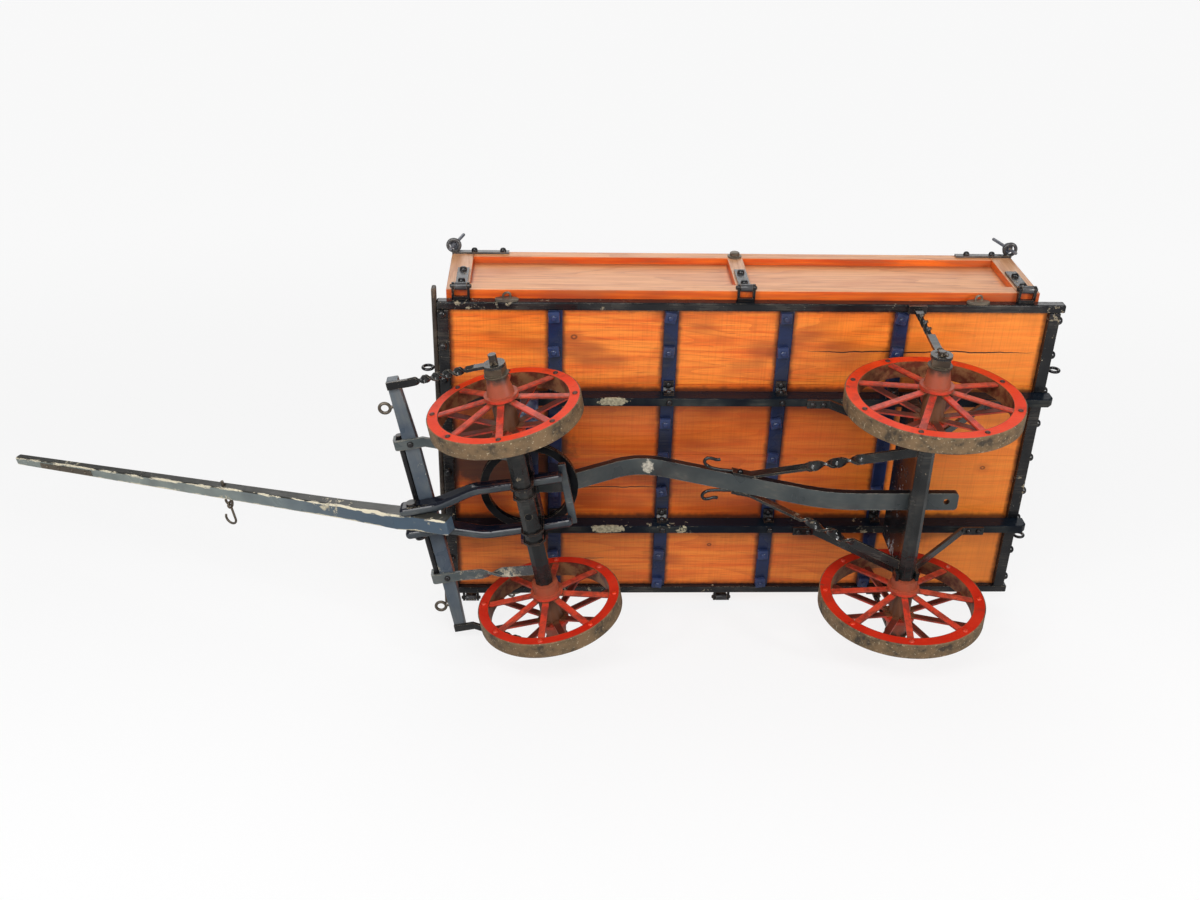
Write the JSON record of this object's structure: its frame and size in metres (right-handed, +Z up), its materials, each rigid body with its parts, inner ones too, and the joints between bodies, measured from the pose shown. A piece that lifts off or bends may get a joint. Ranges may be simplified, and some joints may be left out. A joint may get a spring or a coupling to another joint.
{
  "type": "farm wagon",
  "caption": "Scale-model drop-side farm wagon: framed box body on spoked wheels, ring-turned fore-carriage with hinged draught pole, splinter bar and cranked reach.",
  "frame": {"origin": "on the ground under the middle of the overall length and width", "axes": "+X forward along the wagon to the pole, +Y to the wagon's left, +Z up"},
  "size_m": [0.8986, 0.3084, 0.2947],
  "materials": {
    "floor_pine": "varnished",
    "side_frame_pine": "varnished",
    "side_panel_pine": "varnished",
    "end_board_pine": "varnished",
    "black_iron": "glossy black paint, worn",
    "navy_paint": "glossy navy-black paint",
    "slate_paint": "slate grey paint, chipped to cream",
    "wheel_red": "vermilion paint",
    "rim_red": "vermilion paint, brown tread",
    "worn_steel": "tarnished"
  },
  "bodies": {
    "bed": {"left_side_rail": "black_iron", "right_side_rail": "black_iron", "front_rail": "black_iron", "rear_rail": "black_iron", "front_bar": "black_iron", "floor_boards": "floor_pine", "cross_members": "navy_paint", "left_sill": "slate_paint", "right_sill": "slate_paint", "sill_cleats": "black_iron", "headboard": "end_board_pine", "tailboard": "end_board_pine", "front_bolster": "navy_paint", "upper_ring": "black_iron", "kingpin": "black_iron", "reach": "slate_paint", "reach_braces": "black_iron", "rear_bolster": "navy_paint", "rear_axle": "black_iron", "rear_axle_nuts": "worn_steel", "rear_struts": "black_iron", "rear_stays": "black_iron", "tie_eyes": "worn_steel", "left_hinge_lugs": "black_iron", "right_hinge_lugs": "black_iron"},
    "fore_carriage": {"front_axle": "black_iron", "front_axle_nuts": "worn_steel", "lower_bolster": "navy_paint", "lower_ring": "black_iron", "left_futchell": "navy_paint", "right_futchell": "navy_paint", "sway_bar": "navy_paint", "axle_clips": "black_iron", "splinter_bar": "slate_paint", "splinter_rod": "worn_steel", "splinter_straps": "black_iron", "front_stays": "black_iron", "trace_eyes": "worn_steel", "pole_pin": "black_iron"},
    "pole": {"pole": "slate_paint", "pole_irons": "worn_steel"},
    "pole_hook": {"pole_hook": "worn_steel"},
    "front_left_wheel": {"front_left_rim": "rim_red", "front_left_hub_and_spokes": "wheel_red"},
    "front_right_wheel": {"front_right_rim": "rim_red", "front_right_hub_and_spokes": "wheel_red"},
    "rear_left_wheel": {"rear_left_rim": "rim_red", "rear_left_hub_and_spokes": "wheel_red"},
    "rear_right_wheel": {"rear_right_rim": "rim_red", "rear_right_hub_and_spokes": "wheel_red"},
    "left_side": {"left_side_frame": "side_frame_pine", "left_side_panels": "side_panel_pine", "left_side_irons": "black_iron"},
    "right_side": {"right_side_frame": "side_frame_pine", "right_side_panels": "side_panel_pine", "right_side_irons": "black_iron"},
    "left_front_latch_pin": {"left_front_latch_pin": "worn_steel"},
    "left_rear_latch_pin": {"left_rear_latch_pin": "worn_steel"},
    "right_front_latch_pin": {"right_front_latch_pin": "worn_steel"},
    "right_rear_latch_pin": {"right_rear_latch_pin": "worn_steel"}
  },
  "joints": [
    {"name": "steer", "type": "hinge", "parent": "bed", "child": "fore_carriage", "pos_m": [-0.02877, 0, 0.098], "axis": [0, 0, 1], "range_deg": [-29, 50]},
    {"name": "pole_lift", "type": "hinge", "parent": "fore_carriage", "child": "pole", "pos_m": [0.05767, -0.01649, 0.072], "axis": [-0.1874, -0.9823, 0], "range_deg": [-37, 3]},
    {"name": "hook_swing", "type": "hinge", "parent": "pole", "child": "pole_hook", "pos_m": [0.22346, -0.06224, 0.16702], "axis": [0.8591, -0.1639, 0.4848], "range_deg": [-60, 105]},
    {"name": "front_left_roll", "type": "hinge", "parent": "fore_carriage", "child": "front_left_wheel", "pos_m": [-0.01238, 0.08595, 0.0565], "axis": [0.1874, 0.9823, 0], "continuous": true},
    {"name": "front_right_roll", "type": "hinge", "parent": "fore_carriage", "child": "front_right_wheel", "pos_m": [-0.04517, -0.08595, 0.0565], "axis": [0.1874, 0.9823, 0], "continuous": true},
    {"name": "rear_left_roll", "type": "hinge", "parent": "bed", "child": "rear_left_wheel", "pos_m": [-0.32577, 0.0895, 0.0655], "axis": [0, 1, 0], "continuous": true},
    {"name": "rear_right_roll", "type": "hinge", "parent": "bed", "child": "rear_right_wheel", "pos_m": [-0.32577, -0.0895, 0.0655], "axis": [0, 1, 0], "continuous": true},
    {"name": "left_side_drop", "type": "hinge", "parent": "bed", "child": "left_side", "pos_m": [-0.19427, 0.1448, 0.148], "axis": [-1, 0, 0], "range_deg": [0, 150]},
    {"name": "right_side_drop", "type": "hinge", "parent": "bed", "child": "right_side", "pos_m": [-0.19427, -0.1448, 0.148], "axis": [1, 0, 0], "range_deg": [0, 150]},
    {"name": "left_front_pin_lift", "type": "slide", "parent": "left_side", "child": "left_front_latch_pin", "axis": [-0.2588, 0, 0.9659], "range_m": [0, 0.02]},
    {"name": "left_rear_pin_lift", "type": "slide", "parent": "left_side", "child": "left_rear_latch_pin", "axis": [0.2588, 0, 0.9659], "range_m": [0, 0.02]},
    {"name": "right_front_pin_lift", "type": "slide", "parent": "right_side", "child": "right_front_latch_pin", "axis": [-0.2588, 0, 0.9659], "range_m": [0, 0.02]},
    {"name": "right_rear_pin_lift", "type": "slide", "parent": "right_side", "child": "right_rear_latch_pin", "axis": [0.2588, 0, 0.9659], "range_m": [0, 0.02]}
  ]
}
